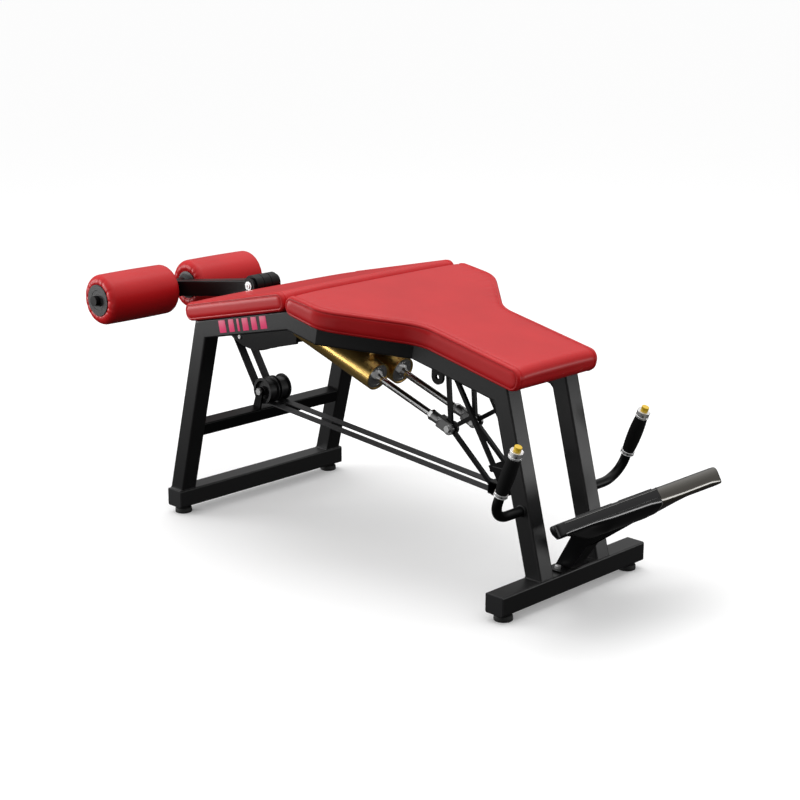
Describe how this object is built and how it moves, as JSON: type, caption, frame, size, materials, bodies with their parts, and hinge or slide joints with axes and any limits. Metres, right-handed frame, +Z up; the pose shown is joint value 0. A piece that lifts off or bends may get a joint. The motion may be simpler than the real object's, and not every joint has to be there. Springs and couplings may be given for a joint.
{
  "type": "prone leg curl machine",
  "caption": "Pneumatic prone leg curl machine: padded bent bench on a steel frame, pivoting lever with two rollers, belt-driven rocker, gold cylinders, hand grips.",
  "frame": {"origin": "on the floor, under the middle of the whole machine at rest", "axes": "+X towards the head end and the display, +Y to the left of a person lying on it, +Z up"},
  "size_m": [1.8584, 0.66, 0.7132],
  "materials": {
    "frame_paint": "satin charcoal powder coat",
    "zinc": "bright zinc plate",
    "black_plastic": "matte black",
    "foot_rubber": "matte black rubber",
    "belt_rubber": "matte black flat belt",
    "red_vinyl": "red upholstery vinyl, soft sheen",
    "board": "dark sealed plywood",
    "gold_metal": "polished gold-coloured metal",
    "chrome": "polished chrome",
    "grey_steel": "machined grey steel",
    "grip_foam": "matte black foam",
    "yellow_plastic": "gloss yellow",
    "display_black": "satin black moulding",
    "display_smoke": "gloss smoky bronze"
  },
  "bodies": {
    "root": {"rear_base_bar": "frame_paint", "front_base_bar": "frame_paint", "base_end_caps": "black_plastic", "foot_pads": "foot_rubber", "foot_studs": "zinc", "rear_legs": "frame_paint", "rear_rails": "frame_paint", "front_rails": "frame_paint", "front_legs": "frame_paint", "rear_cross_bar": "frame_paint", "knee_cross_bar": "frame_paint", "pad_cross_bars": "frame_paint", "carrier_plates": "frame_paint", "knee_shaft": "zinc", "cylinder_pivot_pins": "zinc", "idler_brackets": "frame_paint", "idler_axle": "zinc", "belt_up_runs": "belt_rubber", "rocker_brackets": "frame_paint", "rocker_shaft": "zinc", "rest_stop": "frame_paint", "rest_bumper": "foot_rubber", "rear_pad": "red_vinyl", "front_pad": "red_vinyl", "pad_boards": "board", "handle_tubes": "frame_paint", "handle_grips": "grip_foam", "handle_collars": "chrome", "display_housing": "display_black", "display_end_cover": "display_smoke", "display_bracket": "frame_paint", "display_bolts": "zinc"},
    "knee_arm": {"arm_hub": "frame_paint", "lever_arm": "frame_paint", "cams": "frame_paint", "belt_wraps": "belt_rubber", "cam_belt_clamps": "zinc", "roller_shaft": "frame_paint"},
    "roller_right": {"roller_pad_right": "red_vinyl", "roller_core_right": "black_plastic"},
    "roller_left": {"roller_pad_left": "red_vinyl", "roller_core_left": "black_plastic"},
    "idler_wheel_right": {"idler_right": "black_plastic"},
    "idler_wheel_left": {"idler_left": "black_plastic"},
    "rocker": {"rocker_frame": "frame_paint", "belt_clamps": "zinc", "rocker_pins": "zinc"},
    "cylinder_body_right": {"cylinder_right": "gold_metal", "cylinder_cap_right": "grey_steel"},
    "cylinder_body_left": {"cylinder_left": "gold_metal", "cylinder_cap_left": "grey_steel"},
    "rod_right": {"piston_rod_right": "chrome", "clevis_right": "grey_steel", "clevis_bolt_right": "zinc"},
    "rod_left": {"piston_rod_left": "chrome", "clevis_left": "grey_steel", "clevis_bolt_left": "zinc"},
    "forward_belt": {"belt_forward_runs": "belt_rubber"},
    "button_cap_right": {"button_right": "yellow_plastic"},
    "button_cap_left": {"button_left": "yellow_plastic"}
  },
  "joints": [
    {"name": "knee", "type": "hinge", "parent": "root", "child": "knee_arm", "pos_m": [-0.4592, 0, 0.6283], "axis": [0, 1, 0], "range_deg": [0, 115]},
    {"name": "roller_right_turn", "type": "hinge", "parent": "knee_arm", "child": "roller_right", "pos_m": [-0.8552, -0.163, 0.5625], "axis": [0, 1, 0], "continuous": true},
    {"name": "roller_left_turn", "type": "hinge", "parent": "knee_arm", "child": "roller_left", "pos_m": [-0.8552, 0.163, 0.5625], "axis": [0, 1, 0], "continuous": true},
    {"name": "idler_right_turn", "type": "hinge", "parent": "root", "child": "idler_wheel_right", "pos_m": [-0.4218, -0.022, 0.324], "axis": [0, 1, 0], "continuous": true},
    {"name": "idler_left_turn", "type": "hinge", "parent": "root", "child": "idler_wheel_left", "pos_m": [-0.4218, 0.022, 0.324], "axis": [0, 1, 0], "continuous": true},
    {"name": "rocker_swing", "type": "hinge", "parent": "root", "child": "rocker", "pos_m": [0.3142, 0, 0.55], "axis": [0, 1, 0], "range_deg": [0, 55.6]},
    {"name": "cylinder_right_tilt", "type": "hinge", "parent": "root", "child": "cylinder_body_right", "pos_m": [-0.2838, -0.0465, 0.567], "axis": [0, -1, 0], "range_deg": [0, 2]},
    {"name": "rod_right_stroke", "type": "slide", "parent": "cylinder_body_right", "child": "rod_right", "axis": [-0.9509, 0, 0.3095], "range_m": [0, 0.1692]},
    {"name": "cylinder_left_tilt", "type": "hinge", "parent": "root", "child": "cylinder_body_left", "pos_m": [-0.2838, 0.0465, 0.567], "axis": [0, -1, 0], "range_deg": [0, 2]},
    {"name": "rod_left_stroke", "type": "slide", "parent": "cylinder_body_left", "child": "rod_left", "axis": [-0.9509, 0, 0.3095], "range_m": [0, 0.1692]},
    {"name": "forward_belt_run", "type": "hinge", "parent": "root", "child": "forward_belt", "pos_m": [-0.4218, 0, 0.324], "axis": [0, 1, 0], "range_deg": [0, 1.26], "deforming": ["belt_forward_runs"]},
    {"name": "button_right_press", "type": "slide", "parent": "root", "child": "button_cap_right", "axis": [-0.3714, 0, -0.9285], "range_m": [0, 0.004], "stiffness_N_per_m": 500},
    {"name": "button_left_press", "type": "slide", "parent": "root", "child": "button_cap_left", "axis": [-0.3714, 0, -0.9285], "range_m": [0, 0.004], "stiffness_N_per_m": 500}
  ],
  "couplings": [
    {"joint": "idler_right_turn", "follows": "knee", "ratio": 4.9702},
    {"joint": "idler_left_turn", "follows": "knee", "ratio": 4.9702},
    {"joint": "rocker_swing", "follows": "knee", "ratio": 0.48015},
    {"joint": "cylinder_right_tilt", "follows": "knee", "ratio": 0.01652},
    {"joint": "rod_right_stroke", "follows": "knee", "m_per_rad": 0.08378},
    {"joint": "cylinder_left_tilt", "follows": "knee", "ratio": 0.01652},
    {"joint": "rod_left_stroke", "follows": "knee", "m_per_rad": 0.08378},
    {"joint": "forward_belt_run", "follows": "knee", "ratio": 0.0101}
  ]
}
